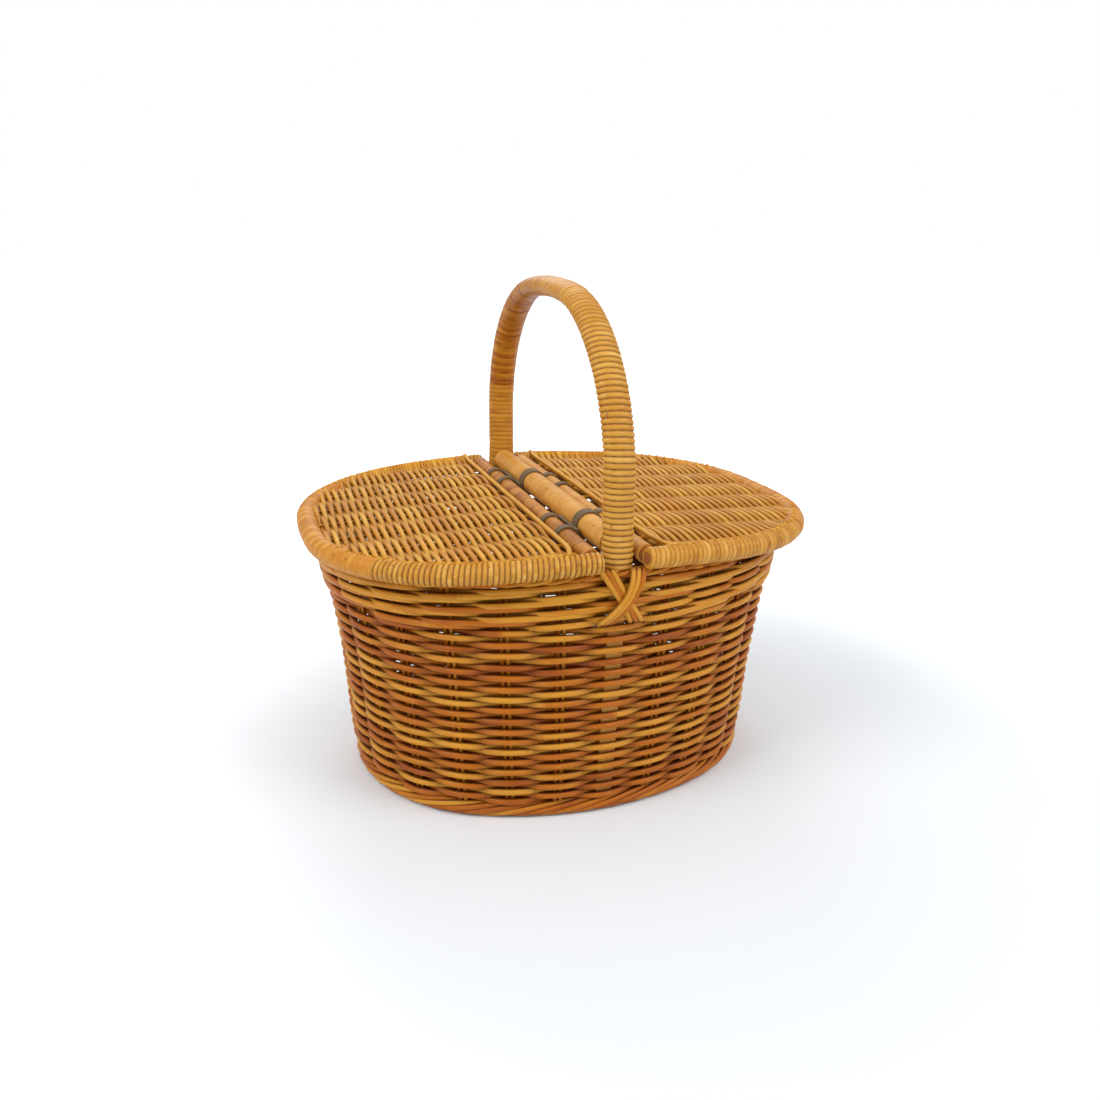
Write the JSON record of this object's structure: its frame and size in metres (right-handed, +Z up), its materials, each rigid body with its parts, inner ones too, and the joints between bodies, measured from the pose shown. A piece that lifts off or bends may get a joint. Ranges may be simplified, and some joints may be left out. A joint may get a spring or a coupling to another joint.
{
  "type": "picnic basket",
  "caption": "Oval woven cane basket with a fixed bow handle and two half-oval lids that hinge on a centre bar.",
  "frame": {"origin": "on the floor, under the centre of the basket", "axes": "+X along the basket's length, +Y across it away from the near handle leg, +Z up"},
  "size_m": [0.4, 0.3266, 0.3862],
  "materials": {
    "wall_cane": "satin",
    "lid_cane": "satin",
    "handle_cane": "satin",
    "peel": "satin",
    "core_rod": "matt",
    "strap": "satin"
  },
  "bodies": {
    "basket": {"base_sticks": "wall_cane", "base_panel": "wall_cane", "foot_border": "wall_cane", "wall_weave": "wall_cane", "wall_stakes": "wall_cane", "rim_wale": "wall_cane", "rim_border": "wall_cane", "handle_core": "core_rod", "handle_wrap": "handle_cane", "near_leg_winding": "handle_cane", "near_lashing": "handle_cane", "far_lashing": "handle_cane", "centre_bar": "core_rod", "centre_bar_wrap": "peel", "near_hinge_strap": "strap", "far_hinge_strap": "strap"},
    "left_lid": {"left_lid_bar": "core_rod", "left_bar_wrap": "peel", "left_lid_hoop": "core_rod", "left_edge_wraps": "lid_cane", "left_end_wrap": "peel", "left_lid_ribs": "lid_cane", "left_lid_weave": "lid_cane", "left_border_strand": "lid_cane"},
    "right_lid": {"right_lid_bar": "core_rod", "right_bar_wrap": "peel", "right_lid_hoop": "core_rod", "right_edge_wraps": "lid_cane", "right_end_wrap": "peel", "right_lid_ribs": "lid_cane", "right_lid_weave": "lid_cane", "right_border_strand": "lid_cane"}
  },
  "joints": [
    {"name": "left_lid_hinge", "type": "hinge", "parent": "basket", "child": "left_lid", "pos_m": [-0.02, 0, 0.2074], "axis": [0, 1, 0], "range_deg": [0, 92]},
    {"name": "right_lid_hinge", "type": "hinge", "parent": "basket", "child": "right_lid", "pos_m": [0.02, 0, 0.2074], "axis": [0, -1, 0], "range_deg": [0, 92]}
  ]
}
